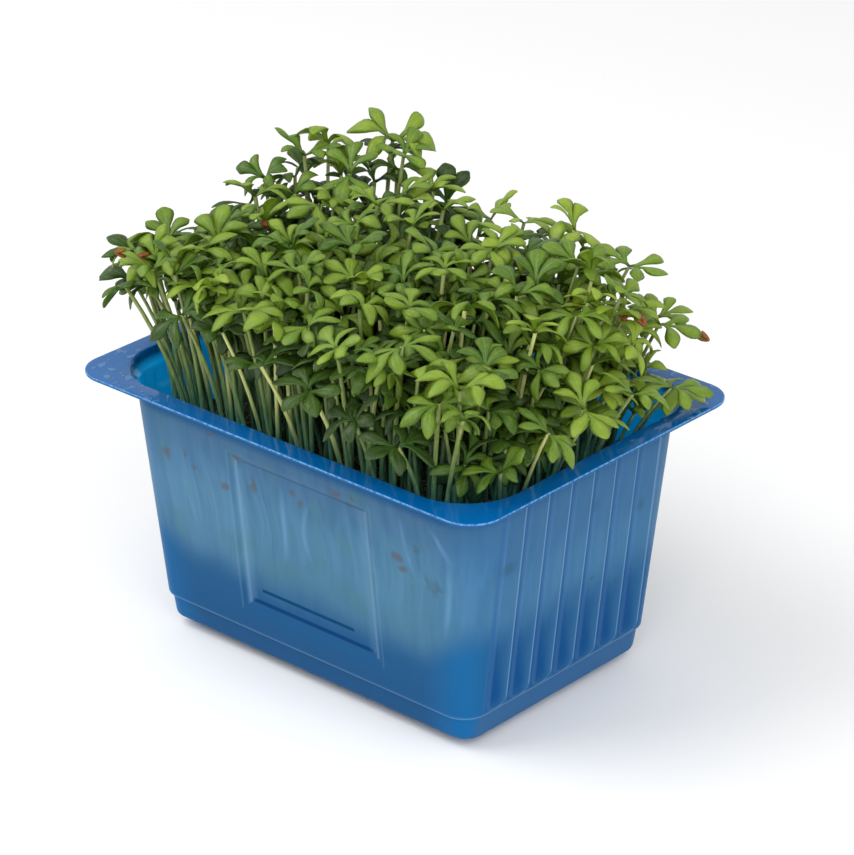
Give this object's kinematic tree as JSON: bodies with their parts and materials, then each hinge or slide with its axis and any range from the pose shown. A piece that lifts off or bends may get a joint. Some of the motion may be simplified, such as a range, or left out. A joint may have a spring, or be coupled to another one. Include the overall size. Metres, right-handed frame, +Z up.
{
  "type": "microgreens tray",
  "caption": "Living garden cress in a rectangular plastic tray with a flat rim, ribbed short sides and a growing medium that holds the rooted seedlings.",
  "frame": {"origin": "middle of the underside of the tray's foot", "axes": "+Z up, X along the tray's long side, Y along its short side"},
  "size_m": [0.157, 0.1256, 0.1248],
  "materials": {
    "blue_plastic": "translucent blue, satin gloss",
    "growing_medium": "wet plant fibre",
    "cress_green": "satin leaf",
    "seed_coat": "matte brown husk"
  },
  "bodies": {
    "root": {"tray": "blue_plastic", "growing_medium": "growing_medium", "cress_clump_01": "cress_green", "cress_clump_02": "cress_green", "cress_clump_03": "cress_green", "cress_clump_04": "cress_green", "cress_clump_05": "cress_green", "cress_clump_06": "cress_green", "cress_clump_07": "cress_green", "cress_clump_08": "cress_green", "cress_clump_09": "cress_green", "cress_clump_10": "cress_green", "cress_clump_11": "cress_green", "cress_clump_12": "cress_green", "cress_clump_13": "cress_green", "cress_clump_14": "cress_green", "cress_clump_15": "cress_green", "cress_clump_16": "cress_green", "cress_clump_17": "cress_green", "cress_clump_18": "cress_green", "cress_clump_19": "cress_green", "cress_clump_20": "cress_green", "cress_clump_21": "cress_green", "cress_clump_22": "cress_green", "cress_clump_23": "cress_green", "cress_clump_24": "cress_green", "cress_clump_25": "cress_green", "cress_clump_26": "cress_green", "cress_clump_27": "cress_green", "cress_clump_28": "cress_green", "cress_clump_29": "cress_green", "cress_clump_30": "cress_green", "cress_clump_31": "cress_green", "cress_clump_32": "cress_green", "cress_clump_33": "cress_green", "cress_clump_34": "cress_green", "cress_clump_35": "cress_green", "cress_clump_36": "cress_green", "cress_clump_37": "cress_green", "cress_clump_38": "cress_green", "cress_clump_39": "cress_green", "cress_clump_40": "cress_green", "cress_clump_41": "cress_green", "cress_clump_42": "cress_green", "cress_clump_43": "cress_green", "cress_clump_44": "cress_green", "cress_clump_45": "cress_green", "cress_clump_46": "cress_green", "cress_clump_47": "cress_green", "cress_clump_48": "cress_green", "cress_clump_49": "cress_green", "cress_clump_50": "cress_green", "seed_coat_1": "seed_coat", "seed_coat_2": "seed_coat", "seed_coat_3": "seed_coat", "seed_coat_4": "seed_coat"}
  },
  "joints": []
}
